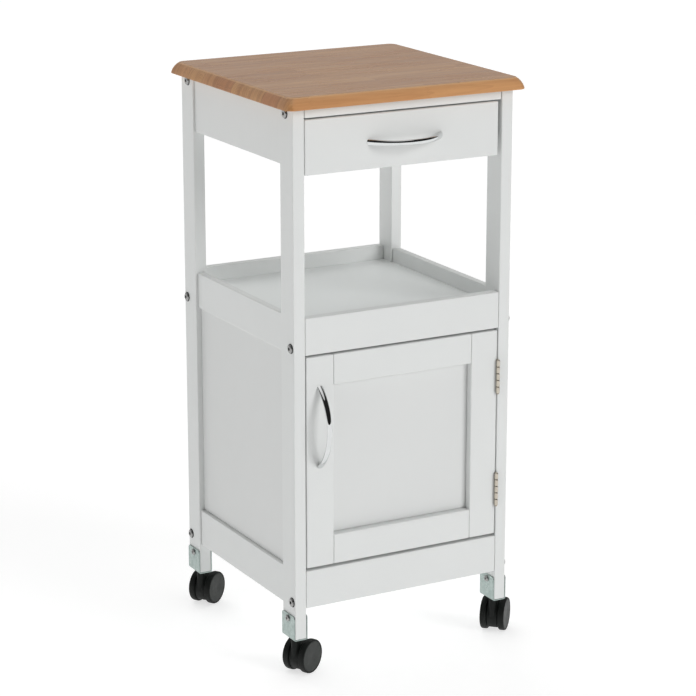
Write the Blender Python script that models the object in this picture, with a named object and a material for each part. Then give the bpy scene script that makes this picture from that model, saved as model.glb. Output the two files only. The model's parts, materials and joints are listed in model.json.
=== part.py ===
"""Rolling kitchen trolley: a wooden worktop, a drawer, an open tray shelf and a cupboard on four casters.

Metres, +Z up. The front faces -Y, and +X is to the right of someone who faces it. The origin lies on the
floor at the middle of the whole footprint, trailing casters included, so the leg frame stands a little to
one side of it.
"""

import math

import bmesh
import bpy
from mathutils import Matrix, Vector

# The leg frame. Heights are above the floor; other positions are from the middle of the frame.
FRAME_CENTRE = Vector((-0.0098, 0.0048, 0.0))
FRAME_HALF = 0.175
LEG_X = 0.018
LEG_Y = 0.038
LEG_BOTTOM = 0.060
WORKTOP_UNDERSIDE = 0.823
GAP = 0.0003
ARRIS = 0.0008
BOARD = 0.015
SIDE_RECESS = 0.008
PANEL = 0.005

# Rails between the legs, as (lowest, highest) heights.
UPPER_RAIL = (0.809, WORKTOP_UNDERSIDE - GAP)
APRON = (0.741, WORKTOP_UNDERSIDE - GAP)
TRAY_RAIL = (0.477, 0.5305)
LOWER_RAIL = (0.105, 0.161)
UPPER_RAIL_SETBACK = 0.0005
UPPER_RAIL_DEPTH = 0.035
UPPER_RAIL_SEAM = 0.0010
SIDE_RAIL_SETBACKS = {"apron": 0.0030, "tray_rail": 0.0035, "lower_rail": 0.0025}
TRAY_FLOOR = (0.500, 0.509)
BOTTOM_BOARD = (0.152, 0.161)

# The worktop.
WORKTOP_HALF = (0.1905, 0.1880)
WORKTOP_Y = -0.0015
WORKTOP_THICK = 0.0165
WORKTOP_CORNER = 0.013
UNDER_ARRIS = 0.0006
TOP_ARRIS = 0.0010
EDGE_RADIUS = 0.0242
EDGE_ARC_DEG = (9, 52)

# The drawer.
DRAWER_FRONT = (0.730, 0.807)
DRAWER_FRONT_X = (-0.1562, 0.1510)
DRAWER_SIDE_X = (-0.1541, 0.1489)
DRAWER_SIDE_THICK = 0.012
DRAWER_BACK_Y = 0.130
RUNNER = (0.742, 0.750)
RUNNER_REACH = 0.143
DRAWER_SIDE_TOP = 0.798
DRAWER_BOTTOM = (0.753, 0.756)

# The door, hung on its right side.
DOOR = (0.165, 0.474)
DOOR_REVEAL = 0.0015
DOOR_HINGE_EDGE = 0.1552
STILE = 0.043
DOOR_RAIL = 0.044
DOOR_PANEL_RECESS = 0.011
DOOR_PANEL = 0.004
CATCH_HEIGHT = 0.448
CATCH_SIZE = Vector((0.012, 0.014, 0.040))
CATCH_SETBACK = 0.0022

# The butt hinges.
HINGE_X = 0.15545
HINGE_Y = -0.1781
HINGE_HEIGHTS = {"upper": 0.405, "lower": 0.234}
HINGE_LENGTH = 0.050
HINGE_REACH = 0.014
KNUCKLES = 5
BARREL_RADIUS = 0.00275
PIN_RADIUS = 0.0010
PIN_HEAD_RATIO = 1.9
PIN_HEAD_REACH = 0.0012
LEAF_THICK = 0.0011
LEAF_OFFSET = 0.00015

# The bow handles.
HANDLE_LENGTH = 0.119
HANDLE_PROJECTION = 0.030
HANDLE_WIDE = 0.0085
HANDLE_THICK = 0.0055
HANDLE_STATIONS = 18
HANDLE_SIDES = 10
DRAWER_HANDLE_X = 0.0
DRAWER_HANDLE_HEIGHT = 0.7675
DOOR_HANDLE_HEIGHT = 0.371

# The casters. Each turns about its stem, and its wheels trail behind the stem.
STEM_X = FRAME_HALF - LEG_X / 2
STEM_Y = FRAME_HALF - LEG_Y / 2
STEM_RADIUS = 0.004
STEM_DEPTH = 0.012
BRACKET_SHEET = 0.0015
BRACKET_HEIGHT = 0.035
BRACKET_WIDTH = 0.037
TRAIL = 0.0185
WHEEL_RADIUS = 0.025
WHEEL_WIDTH = 0.0098
WHEEL_BORE_DEPTH = 0.0068
WHEEL_SIDES = 24
RIM_HEIGHT = 0.0008
RIM_WIDTH = 0.0042
TREAD_ARRIS = 0.0015
HOOD_RADIUS = 0.0230
HOOD_HALF_WIDTH = 0.0082
HOOD_ARC_DEG = (12, 232)
BOSS_RADIUS = 0.0055
AXLE_RADIUS = 0.0025
AXLE_HALF = 0.0147
ROUND_SIDES = 16

SIDES = {"left": -1, "right": 1}
ENDS = {"front": -1, "rear": 1}
TRAIL_HEADING_DEG = {
    "front_left": 27.9,
    "front_right": 45.0,
    "rear_left": 33.9,
    "rear_right": 38.0,
}


def clear_scene():
    for thing in list(bpy.data.objects):
        bpy.data.objects.remove(thing, do_unlink=True)


def make_material(name, colour, roughness, metallic=0.0):
    material = bpy.data.materials.new(name)
    material.use_nodes = True
    material.diffuse_color = (*colour, 1.0)
    shader = material.node_tree.nodes["Principled BSDF"]
    shader.inputs["Base Color"].default_value = (*colour, 1.0)
    shader.inputs["Roughness"].default_value = roughness
    shader.inputs["Metallic"].default_value = metallic
    return material


def make_materials():
    return {
        "paint": make_material("white_paint", (0.80, 0.81, 0.80), 0.38),
        "panel": make_material("white_board", (0.78, 0.79, 0.78), 0.42),
        "wood": make_material("honey_wood", (0.52, 0.29, 0.13), 0.34),
        "chrome": make_material("chrome", (0.72, 0.73, 0.74), 0.08, 1.0),
        "zinc": make_material("zinc_plate", (0.55, 0.60, 0.59), 0.32, 1.0),
        "nickel": make_material("nickel", (0.60, 0.57, 0.52), 0.28, 1.0),
        "caster": make_material("black_plastic", (0.018, 0.019, 0.019), 0.42),
        "disc": make_material("grey_plastic", (0.05, 0.051, 0.05), 0.38),
        "catch": make_material("catch_plastic", (0.70, 0.69, 0.66), 0.45),
    }


def add_empty(name, parent, location, turn_deg=0.0):
    empty = bpy.data.objects.new(name, None)
    empty.empty_display_size = 0.02
    bpy.context.scene.collection.objects.link(empty)
    empty.parent = parent
    empty.location = location
    empty.rotation_euler.z = math.radians(turn_deg)
    return empty


def add_object(name, bm, material, parent, location=(0, 0, 0), smooth=False):
    bmesh.ops.recalc_face_normals(bm, faces=bm.faces)
    mesh = bpy.data.meshes.new(name)
    bm.to_mesh(mesh)
    bm.free()
    mesh.materials.append(material)
    if smooth:
        mesh.shade_smooth()
        mesh.set_sharp_from_angle(angle=math.radians(35))
    thing = bpy.data.objects.new(name, mesh)
    bpy.context.scene.collection.objects.link(thing)
    thing.parent = parent
    thing.location = location
    return thing


def box_mesh(size):
    bm = bmesh.new()
    bmesh.ops.create_cube(bm, size=1.0)
    bmesh.ops.scale(bm, vec=size, verts=bm.verts)
    return bm


def prism_mesh(outline, low, high, axis="Z"):
    """A flat outline of (a, b) points, extruded from low to high along Z or Y; along Y, b is the height."""
    bm = bmesh.new()
    if axis == "Z":
        points = [Vector((a, b, low)) for a, b in outline]
        along = Vector((0, 0, high - low))
    else:
        points = [Vector((a, low, b)) for a, b in outline]
        along = Vector((0, high - low, 0))
    face = bm.faces.new([bm.verts.new(p) for p in points])
    grown = bmesh.ops.extrude_face_region(bm, geom=[face])
    moved = [g for g in grown["geom"] if isinstance(g, bmesh.types.BMVert)]
    bmesh.ops.translate(bm, vec=along, verts=moved)
    return bm


def turned_mesh(profile, sides, phase=0.0):
    """A profile of (radius, height) points that starts and ends on the axis, turned about Z."""
    bm = bmesh.new()
    rings = []
    for radius, height in profile:
        if radius == 0:
            rings.append([bm.verts.new((0, 0, height))])
            continue
        angles = [phase + 2 * math.pi * i / sides for i in range(sides)]
        rings.append([bm.verts.new((radius * math.cos(a), radius * math.sin(a), height)) for a in angles])
    for lower, upper in zip(rings, rings[1:]):
        for i in range(sides):
            j = (i + 1) % sides
            corners = [lower[i % len(lower)], lower[j % len(lower)]]
            corners += [upper[j % len(upper)], upper[i % len(upper)]]
            bm.faces.new(list(dict.fromkeys(corners)))
    return bm


def rod_mesh(radius, low, high, sides=ROUND_SIDES):
    return turned_mesh([(0, low), (radius, low), (radius, high), (0, high)], sides)


def soften(thing, width=ARRIS, segments=1):
    bevel = thing.modifiers.new("arris", "BEVEL")
    bevel.width = width
    bevel.segments = segments
    bevel.limit_method = "ANGLE"
    return bevel


def combine(thing, other, operation):
    """Applies a Boolean of thing with a helper object, which stays in the scene as a hidden wire cutter."""
    other.hide_render = True
    other.display_type = "WIRE"
    boolean = thing.modifiers.new(other.name, "BOOLEAN")
    boolean.operation = operation
    boolean.solver = "EXACT"
    boolean.object = other
    return thing


def add_board(name, low, high, material, parent, origin=Vector((0, 0, 0))):
    """A rectangular board between two corners. origin is where the parent stands in the leg frame."""
    low = Vector(low)
    high = Vector(high)
    board = add_object(name, box_mesh(high - low), material, parent, (low + high) / 2 - origin)
    soften(board)
    return board


def rounded_rectangle(half_x, half_y, radius, steps=5):
    """The outline of a rectangle of those half sides, its corners rounded in plan."""
    outline = []
    for corner, (x_sign, y_sign) in enumerate([(1, 1), (-1, 1), (-1, -1), (1, -1)]):
        middle_x = x_sign * (half_x - radius)
        middle_y = y_sign * (half_y - radius)
        for step in range(steps + 1):
            angle = corner * math.pi / 2 + step * math.pi / 2 / steps
            outline.append((middle_x + radius * math.cos(angle), middle_y + radius * math.sin(angle)))
    return outline


def worktop_profile(steps=6):
    """(inset, height above the underside) up the edge: an arris, a slope that curves in, and an arris."""
    profile = [(UNDER_ARRIS, 0.0)]
    first, last = (math.radians(a) for a in EDGE_ARC_DEG)
    for step in range(steps + 1):
        angle = first + (last - first) * step / steps
        inset = EDGE_RADIUS * (math.cos(first) - math.cos(angle))
        profile.append((inset, UNDER_ARRIS + EDGE_RADIUS * (math.sin(angle) - math.sin(first))))
    profile.append((profile[-1][0] + TOP_ARRIS, WORKTOP_THICK))
    return profile


def add_worktop(materials, root):
    bm = bmesh.new()
    rings = []
    for inset, height in worktop_profile():
        half_x, half_y = (half - inset for half in WORKTOP_HALF)
        outline = rounded_rectangle(half_x, half_y, WORKTOP_CORNER - inset)
        rings.append([bm.verts.new((x, y, height)) for x, y in outline])
    for lower, upper in zip(rings, rings[1:]):
        for i in range(len(lower)):
            j = (i + 1) % len(lower)
            bm.faces.new([lower[i], lower[j], upper[j], upper[i]])
    bm.faces.new(rings[0][::-1])
    bm.faces.new(rings[-1])
    place = (0, WORKTOP_Y, WORKTOP_UNDERSIDE)
    add_object("worktop", bm, materials["wood"], root, place, smooth=True)


def add_legs(materials, root):
    socket = rod_mesh(STEM_RADIUS + GAP, LEG_BOTTOM - 0.005, LEG_BOTTOM + STEM_DEPTH + 0.002)
    top = WORKTOP_UNDERSIDE - GAP
    for end, y_sign in ENDS.items():
        for side, x_sign in SIDES.items():
            centre = Vector((x_sign * STEM_X, y_sign * STEM_Y, 0))
            half = Vector((LEG_X / 2, LEG_Y / 2, 0))
            low = centre - half + Vector((0, 0, LEG_BOTTOM))
            high = centre + half + Vector((0, 0, top))
            leg = add_board(f"leg_{end}_{side}", low, high, materials["paint"], root)
            cutter = add_object(f"stem_socket_{end}_{side}", socket.copy(), materials["paint"], root, centre)
            combine(leg, cutter, "DIFFERENCE")
    socket.free()


def add_cross_rails(materials, root):
    """The boards between the left and right legs, at the front and at the back. The upper two lie flat."""
    inner = FRAME_HALF - LEG_X - GAP
    heights = {
        "tray_rail_front": (TRAY_RAIL, -1),
        "lower_rail_front": (LOWER_RAIL, -1),
        "tray_rail_rear": (TRAY_RAIL, 1),
        "lower_rail_rear": (LOWER_RAIL, 1),
    }
    for name, ((low, high), y_sign) in heights.items():
        faces = sorted((y_sign * FRAME_HALF, y_sign * (FRAME_HALF - BOARD)))
        add_board(name, (-inner, faces[0], low), (inner, faces[1], high), materials["paint"], root)
    outer = FRAME_HALF - UPPER_RAIL_SETBACK
    inner = FRAME_HALF - LEG_X - UPPER_RAIL_SEAM
    for end, y_sign in ENDS.items():
        faces = sorted((y_sign * outer, y_sign * (outer - UPPER_RAIL_DEPTH)))
        corners = (-inner, faces[0], UPPER_RAIL[0]), (inner, faces[1], UPPER_RAIL[1])
        add_board(f"upper_rail_{end}", *corners, materials["paint"], root)


def add_side_rails(materials, root):
    """The boards between the front and rear legs, set back a little from the legs' outer faces."""
    inner = FRAME_HALF - LEG_Y - GAP
    rails = {"apron": APRON, "tray_rail": TRAY_RAIL, "lower_rail": LOWER_RAIL}
    for side, x_sign in SIDES.items():
        for name, (low, high) in rails.items():
            outer = FRAME_HALF - SIDE_RAIL_SETBACKS[name]
            faces = sorted((x_sign * outer, x_sign * (FRAME_HALF - BOARD)))
            corners = (faces[0], -inner, low), (faces[1], inner, high)
            add_board(f"{name}_{side}", *corners, materials["paint"], root)


def add_panels(materials, root):
    low = LOWER_RAIL[1] + GAP
    high = TRAY_RAIL[0] - GAP
    outer = FRAME_HALF - SIDE_RECESS
    inner_y = FRAME_HALF - LEG_Y - GAP
    for side, x_sign in SIDES.items():
        faces = sorted((x_sign * outer, x_sign * (outer - PANEL)))
        corners = (faces[0], -inner_y, low), (faces[1], inner_y, high)
        add_board(f"side_panel_{side}", *corners, materials["panel"], root)
    inner_x = FRAME_HALF - LEG_X - GAP
    backs = {"back_panel": (low, high), "drawer_bay_back": (APRON[0], UPPER_RAIL[0] - GAP)}
    for name, heights in backs.items():
        corners = (-inner_x, outer - PANEL, heights[0]), (inner_x, outer, heights[1])
        add_board(name, *corners, materials["panel"], root)


def add_notched_board(name, heights, materials, root):
    """A floor board that reaches the rails on all four sides and is notched round the four legs."""
    edge = FRAME_HALF - BOARD - GAP
    leg_x = FRAME_HALF - LEG_X - GAP
    leg_y = FRAME_HALF - LEG_Y - GAP
    quarter = [(leg_x, edge), (leg_x, leg_y), (edge, leg_y)]
    outline = [(-x, y) for x, y in quarter[::-1]] + quarter
    outline += [(x, -y) for x, y in quarter[::-1]] + [(-x, -y) for x, y in quarter]
    bm = prism_mesh(outline, heights[0], heights[1])
    add_object(name, bm, materials["panel"], root)


def add_runners(materials, root):
    inner_y = FRAME_HALF - LEG_Y - GAP
    outer_x = FRAME_HALF - BOARD - GAP
    for side, x_sign in SIDES.items():
        faces = sorted((x_sign * outer_x, x_sign * RUNNER_REACH))
        corners = (faces[0], -inner_y, RUNNER[0]), (faces[1], inner_y, RUNNER[1])
        add_board(f"drawer_runner_{side}", *corners, materials["panel"], root)


def handle_path(t):
    """(along, projection, tilt) of the bow's middle line, for t from 0 to 1: an arc between its two feet."""
    half = HANDLE_LENGTH / 2 - HANDLE_THICK / 2
    reach = HANDLE_PROJECTION - HANDLE_THICK / 2
    radius = (half * half + reach * reach) / (2 * reach)
    spread = math.asin(half / radius)
    angle = (2 * t - 1) * spread
    return radius * math.sin(angle), radius * math.cos(angle) - (radius - reach), angle


def handle_mesh():
    """A bow handle along X that stands out towards -Y from y = 0, its two feet cut flat on that plane."""
    bm = bmesh.new()
    rings = []
    for station in range(HANDLE_STATIONS + 1):
        along, out, tilt = handle_path(station / HANDLE_STATIONS)
        ring = []
        for side in range(HANDLE_SIDES):
            angle = 2 * math.pi * side / HANDLE_SIDES
            across = HANDLE_THICK / 2 * math.cos(angle)
            x = along + across * math.sin(tilt)
            y = -(out + across * math.cos(tilt))
            if station in (0, HANDLE_STATIONS):
                x = along + across / math.cos(math.pi / 2 - abs(tilt)) * math.copysign(1, tilt)
                y = 0.0
            ring.append(bm.verts.new((x, y, HANDLE_WIDE / 2 * math.sin(angle))))
        rings.append(ring)
    for first, second in zip(rings, rings[1:]):
        for i in range(HANDLE_SIDES):
            j = (i + 1) % HANDLE_SIDES
            bm.faces.new([first[i], first[j], second[j], second[i]])
    bm.faces.new(rings[0])
    bm.faces.new(rings[-1])
    return bm


def add_drawer(materials, root):
    front = -FRAME_HALF
    inside = front + BOARD
    origin = Vector((0, front, sum(DRAWER_FRONT) / 2))
    slide = add_empty("drawer_slide", root, origin)
    low = (DRAWER_FRONT_X[0], front, DRAWER_FRONT[0])
    high = (DRAWER_FRONT_X[1], inside, DRAWER_FRONT[1])
    add_board("drawer_front", low, high, materials["paint"], slide, origin)
    side_low = RUNNER[1] + GAP
    start = inside + GAP
    inner = [x - SIDES[side] * DRAWER_SIDE_THICK for side, x in zip(SIDES, DRAWER_SIDE_X)]
    for side, outer_x, inner_x in zip(SIDES, DRAWER_SIDE_X, inner):
        faces = sorted((outer_x, inner_x))
        corners = (faces[0], start, side_low), (faces[1], DRAWER_BACK_Y, DRAWER_SIDE_TOP)
        add_board(f"drawer_side_{side}", *corners, materials["panel"], slide, origin)
    left, right = inner[0] + GAP, inner[1] - GAP
    back_face = DRAWER_BACK_Y - DRAWER_SIDE_THICK
    low = (left, back_face, side_low)
    high = (right, DRAWER_BACK_Y, DRAWER_SIDE_TOP)
    add_board("drawer_back", low, high, materials["panel"], slide, origin)
    low = (left, start, DRAWER_BOTTOM[0])
    high = (right, back_face - GAP, DRAWER_BOTTOM[1])
    add_board("drawer_bottom", low, high, materials["panel"], slide, origin)
    place = Vector((DRAWER_HANDLE_X, front - GAP, DRAWER_HANDLE_HEIGHT)) - origin
    add_object("drawer_handle", handle_mesh(), materials["chrome"], slide, place, smooth=True)


def hinge_notch(name, height, materials, parent, origin):
    """The shallow mortise in the hinge stile's edge that takes a door leaf."""
    reach = HINGE_LENGTH / 2 + GAP
    low = Vector((HINGE_X - LEAF_OFFSET - LEAF_THICK - GAP, -FRAME_HALF - 0.002, height - reach))
    high = Vector((HINGE_X + 0.004, HINGE_Y + HINGE_REACH + GAP, height + reach))
    place = (low + high) / 2 - origin
    return add_object(name, box_mesh(high - low), materials["paint"], parent, place)


def add_door(materials, root):
    """The door's boards and handle, on an empty that stands on the hinge axis."""
    origin = Vector((HINGE_X, HINGE_Y, DOOR[0]))
    pivot = add_empty("door_pivot", root, origin)
    front = -FRAME_HALF
    inside = front + BOARD
    latch_edge = -(FRAME_HALF - LEG_X - DOOR_REVEAL)
    paint = materials["paint"]
    corners = (latch_edge, front, DOOR[0]), (latch_edge + STILE, inside, DOOR[1])
    add_board("door_stile_latch", *corners, paint, pivot, origin)
    corners = (DOOR_HINGE_EDGE - STILE, front, DOOR[0]), (DOOR_HINGE_EDGE, inside, DOOR[1])
    stile = add_board("door_stile_hinge", *corners, paint, pivot, origin)
    for name, height in HINGE_HEIGHTS.items():
        notch = hinge_notch(f"hinge_mortise_{name}", height, materials, pivot, origin)
        combine(stile, notch, "DIFFERENCE")
    left = latch_edge + STILE + GAP
    right = DOOR_HINGE_EDGE - STILE - GAP
    rails = {"lower": (DOOR[0], DOOR[0] + DOOR_RAIL), "upper": (DOOR[1] - DOOR_RAIL, DOOR[1])}
    for name, (low, high) in rails.items():
        add_board(f"door_rail_{name}", (left, front, low), (right, inside, high), paint, pivot, origin)
    face = front + DOOR_PANEL_RECESS
    low = (left, face, rails["lower"][1] + GAP)
    high = (right, face + DOOR_PANEL, rails["upper"][0] - GAP)
    add_board("door_panel", low, high, materials["panel"], pivot, origin)
    place = Vector((latch_edge + STILE / 2, front - GAP, DOOR_HANDLE_HEIGHT)) - origin
    handle = add_object("door_handle", handle_mesh(), materials["chrome"], pivot, place, smooth=True)
    handle.rotation_euler.y = math.pi / 2
    return pivot, origin


def knuckle_spans():
    """The heights of the hinge's knuckles above its middle, frame and door in turn."""
    step = HINGE_LENGTH / KNUCKLES
    start = -HINGE_LENGTH / 2
    edges = [start + i * step for i in range(KNUCKLES + 1)]
    spans = [(low + GAP / 2, high - GAP / 2) for low, high in zip(edges, edges[1:])]
    return {"frame": spans[0::2], "door": spans[1::2]}


def add_leaf(name, leaf, materials, parent, location):
    """A hinge leaf: a plate behind the barrel and its own knuckles, bored through for the pin."""
    x_sign = 1 if leaf == "frame" else -1
    faces = sorted((x_sign * LEAF_OFFSET, x_sign * (LEAF_OFFSET + LEAF_THICK)))
    low = Vector((faces[0], (BARREL_RADIUS + PIN_RADIUS + GAP) / 2, -HINGE_LENGTH / 2 + GAP / 2))
    high = Vector((faces[1], HINGE_REACH, HINGE_LENGTH / 2 - GAP / 2))
    bm = box_mesh(high - low)
    bmesh.ops.translate(bm, vec=(low + high) / 2, verts=bm.verts)
    plate = add_object(name, bm, materials["nickel"], parent, location, smooth=True)
    cutters = []
    others = "door" if leaf == "frame" else "frame"
    for index, (start, end) in enumerate(knuckle_spans()[others]):
        relief = rod_mesh(BARREL_RADIUS + 2 * GAP, start - GAP, end + GAP)
        cutters.append((f"{name}_relief_{index}", relief, "DIFFERENCE"))
    for index, (start, end) in enumerate(knuckle_spans()[leaf]):
        cutters.append((f"{name}_knuckle_{index}", rod_mesh(BARREL_RADIUS, start, end), "UNION"))
    bore = rod_mesh(PIN_RADIUS + GAP, -HINGE_LENGTH, HINGE_LENGTH)
    cutters.append((f"{name}_bore", bore, "DIFFERENCE"))
    for cutter_name, shape, operation in cutters:
        cutter = add_object(cutter_name, shape, materials["nickel"], parent, location)
        combine(plate, cutter, operation)


def add_hinges(materials, root, pivot, pivot_origin):
    for name, height in HINGE_HEIGHTS.items():
        place = Vector((HINGE_X, HINGE_Y, height))
        add_leaf(f"hinge_{name}_frame_leaf", "frame", materials, root, place)
        add_leaf(f"hinge_{name}_door_leaf", "door", materials, pivot, place - pivot_origin)
        half = HINGE_LENGTH / 2
        head = PIN_RADIUS * PIN_HEAD_RATIO
        tip = half + PIN_HEAD_REACH
        upper = [(PIN_RADIUS, half + GAP), (head, half + GAP), (head, tip), (0, tip)]
        lower = [(radius, -level) for radius, level in upper[::-1]]
        pin = turned_mesh(lower + upper, ROUND_SIDES)
        add_object(f"hinge_{name}_pin", pin, materials["nickel"], root, place, smooth=True)


def add_catch(materials, root):
    """A magnetic catch on the inner face of the front left leg, just behind the closed door."""
    face_x = -(FRAME_HALF - LEG_X) + GAP
    face_y = -FRAME_HALF + BOARD + CATCH_SETBACK
    centre = Vector((face_x + CATCH_SIZE.x / 2, face_y + CATCH_SIZE.y / 2, CATCH_HEIGHT))
    catch = add_object("magnetic_catch", box_mesh(CATCH_SIZE), materials["catch"], root, centre)
    soften(catch)


def add_bracket(name, materials, root, centre):
    """The plated strap round a leg's foot: a base under the leg and a flange up each side of it."""
    inner = LEG_X / 2 + GAP
    outer = inner + BRACKET_SHEET
    top = LEG_BOTTOM + BRACKET_HEIGHT
    floor = LEG_BOTTOM - GAP
    half = [(outer, floor - BRACKET_SHEET), (outer, top), (inner, top), (inner, floor)]
    outline = half + [(-x, z) for x, z in half[::-1]]
    bm = prism_mesh(outline, -BRACKET_WIDTH / 2, BRACKET_WIDTH / 2, axis="Y")
    bracket = add_object(name, bm, materials["zinc"], root, centre)
    hole = rod_mesh(STEM_RADIUS + GAP, LEG_BOTTOM - 0.010, LEG_BOTTOM + 0.010)
    combine(bracket, add_object(f"{name}_hole", hole, materials["zinc"], root, centre), "DIFFERENCE")


def hood_outline(steps=20):
    """The hood in side view as (X, Z) from the stem axis at floor level: a long arc round the axle."""
    first, last = (math.radians(a) for a in HOOD_ARC_DEG)
    outline = []
    for step in range(steps + 1):
        angle = first + (last - first) * step / steps
        x = TRAIL + HOOD_RADIUS * math.cos(angle)
        outline.append((x, WHEEL_RADIUS + HOOD_RADIUS * math.sin(angle)))
    return outline


def add_hood(name, materials, swivel):
    plastic = materials["caster"]
    shell = prism_mesh(hood_outline(), -HOOD_HALF_WIDTH, HOOD_HALF_WIDTH, axis="Y")
    hood = add_object(name, shell, plastic, swivel, smooth=True)
    base = LEG_BOTTOM - GAP - BRACKET_SHEET - 2 * GAP
    tip = LEG_BOTTOM + STEM_DEPTH
    profile = [(0, WHEEL_RADIUS), (BOSS_RADIUS, WHEEL_RADIUS), (BOSS_RADIUS, base)]
    profile += [(STEM_RADIUS, base), (STEM_RADIUS, tip), (0, tip)]
    boss = turned_mesh(profile, ROUND_SIDES)
    combine(hood, add_object(f"{name}_boss", boss, plastic, swivel), "UNION")
    axle = rod_mesh(AXLE_RADIUS, -AXLE_HALF, AXLE_HALF)
    lay_down(axle, 1)
    place = (TRAIL, 0, WHEEL_RADIUS)
    combine(hood, add_object(f"{name}_axle", axle, plastic, swivel, place), "UNION")


def lay_down(bm, y_sign):
    """Turns a shape made along +Z to lie along the Y axis, towards +Y where y_sign is 1."""
    turn = Matrix.Rotation(-y_sign * math.pi / 2, 3, "X")
    bmesh.ops.rotate(bm, cent=(0, 0, 0), matrix=turn, verts=bm.verts)


def wheel_mesh():
    """A wheel turned about Z with a blind bore from z = 0 and a raised rim round its outer face.

    Flat to flat it measures twice the wheel radius, and one flat faces -X.
    """
    corner = 1 / math.cos(math.pi / WHEEL_SIDES)
    tread = WHEEL_RADIUS * corner
    bore = AXLE_RADIUS + GAP
    face = WHEEL_WIDTH - RIM_HEIGHT
    profile = [(0, WHEEL_BORE_DEPTH), (bore, WHEEL_BORE_DEPTH), (bore, 0)]
    profile += [(tread - TREAD_ARRIS, 0), (tread, TREAD_ARRIS), (tread, face - TREAD_ARRIS)]
    profile += [(tread - TREAD_ARRIS, face), (tread - 2 * TREAD_ARRIS, WHEEL_WIDTH)]
    profile += [(tread - RIM_WIDTH, face), (0, face)]
    return turned_mesh(profile, WHEEL_SIDES, phase=math.pi / WHEEL_SIDES)


def add_wheels(corner, materials, swivel):
    """Two wheels on one axle. Each has its origin on the axle, and its blind bore faces the hood."""
    for side, y_sign in SIDES.items():
        place = (TRAIL, y_sign * (HOOD_HALF_WIDTH + GAP), WHEEL_RADIUS)
        bm = wheel_mesh()
        lay_down(bm, y_sign)
        add_object(f"caster_{corner}_wheel_{side}", bm, materials["caster"], swivel, place, smooth=True)


def add_casters(materials, root):
    for end, y_sign in ENDS.items():
        for side, x_sign in SIDES.items():
            corner = f"{end}_{side}"
            centre = Vector((x_sign * STEM_X, y_sign * STEM_Y, 0))
            add_bracket(f"caster_{corner}_bracket", materials, root, centre)
            swivel = add_empty(f"caster_{corner}_swivel", root, centre, TRAIL_HEADING_DEG[corner])
            add_hood(f"caster_{corner}_hood", materials, swivel)
            add_wheels(corner, materials, swivel)


def build():
    clear_scene()
    materials = make_materials()
    root = add_empty("trolley", None, FRAME_CENTRE)
    add_worktop(materials, root)
    add_legs(materials, root)
    add_cross_rails(materials, root)
    add_side_rails(materials, root)
    add_panels(materials, root)
    add_notched_board("tray_floor", TRAY_FLOOR, materials, root)
    add_notched_board("cupboard_floor", BOTTOM_BOARD, materials, root)
    add_runners(materials, root)
    add_drawer(materials, root)
    pivot, pivot_origin = add_door(materials, root)
    add_hinges(materials, root, pivot, pivot_origin)
    add_catch(materials, root)
    add_casters(materials, root)


build()
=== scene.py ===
"""Looks of a rolling kitchen trolley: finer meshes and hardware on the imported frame, materials and a studio.

Metres, +Z up, in the frame's own coordinates. The front faces -Y, and an azimuth runs from -Y towards +X.
"""

import json
import math

import bmesh
import bpy
from mathutils import Matrix, Vector


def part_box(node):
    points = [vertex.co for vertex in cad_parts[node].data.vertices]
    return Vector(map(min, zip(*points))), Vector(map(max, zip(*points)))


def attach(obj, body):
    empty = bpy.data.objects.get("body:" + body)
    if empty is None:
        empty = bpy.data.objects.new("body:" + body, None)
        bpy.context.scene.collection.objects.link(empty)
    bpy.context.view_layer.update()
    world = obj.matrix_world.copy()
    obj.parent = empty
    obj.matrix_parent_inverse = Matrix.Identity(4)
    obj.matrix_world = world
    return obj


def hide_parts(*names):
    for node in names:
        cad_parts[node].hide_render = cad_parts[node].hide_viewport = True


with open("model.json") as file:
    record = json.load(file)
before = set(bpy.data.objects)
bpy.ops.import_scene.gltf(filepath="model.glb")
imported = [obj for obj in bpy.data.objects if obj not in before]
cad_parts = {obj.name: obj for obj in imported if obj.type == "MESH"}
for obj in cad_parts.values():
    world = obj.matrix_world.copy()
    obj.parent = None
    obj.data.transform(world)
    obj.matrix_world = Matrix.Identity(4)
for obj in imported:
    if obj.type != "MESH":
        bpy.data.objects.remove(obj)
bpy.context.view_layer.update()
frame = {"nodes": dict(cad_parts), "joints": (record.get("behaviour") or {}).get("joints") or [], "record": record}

BODIES = frame["record"]["behaviour"]["bodies"]
BODY_OF = {node: body for body, nodes in BODIES.items() for node in nodes}
SLOT_OF = {part["node"]: part["material_slot"] for part in frame["record"]["subparts"]}
JOINTS = {joint["name"]: joint for joint in frame["joints"]}
ENDS = {"front": -1, "rear": 1}
SIDES = {"left": -1, "right": 1}
CORNERS = [(end, side) for end in ENDS for side in SIDES]

# Camera, aimed at a point above the middle of the leg frame.
CAMERA_AZIMUTH_DEG = -28.763
CAMERA_ELEVATION_DEG = 15.474
CAMERA_DISTANCE = 3.7441
CAMERA_LENS_MM = 131.43
TARGET_FROM_FRAME = Vector((0.00624, 0.0, 0.42476))

# Suns, as (azimuth and elevation in degrees, strength, angle across, whether bright metal mirrors it).
SUNS = {
    "key": (28.0, 22.0, 1.42, 30.0, False),
    "fill": (-78.0, 18.0, 0.36, 45.0, False),
    "back": (176.0, 27.0, 1.10, 50.0, False),
    "top": (10.0, 75.0, 0.35, 50.0, True),
}
WORLD_STRENGTH = 0.43
WORLD_BACK = (0.98, 0.99, 0.98, 1)
WORLD_BACK_FROM_Y = (-0.35, 0.45)
WORLD_FRONT_GREYS = [(0.0, 0.03), (0.82, 0.05), (0.94, 0.60), (1.0, 0.95)]
FLOOR_SIZE = 60.0
FLOOR_GLOW = 0.66

# Boards.
BOARD_RADIUS = 0.0015
SHEET_RADIUS = BOARD_RADIUS * 0.6
BOARD_SEGMENTS = 3

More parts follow.
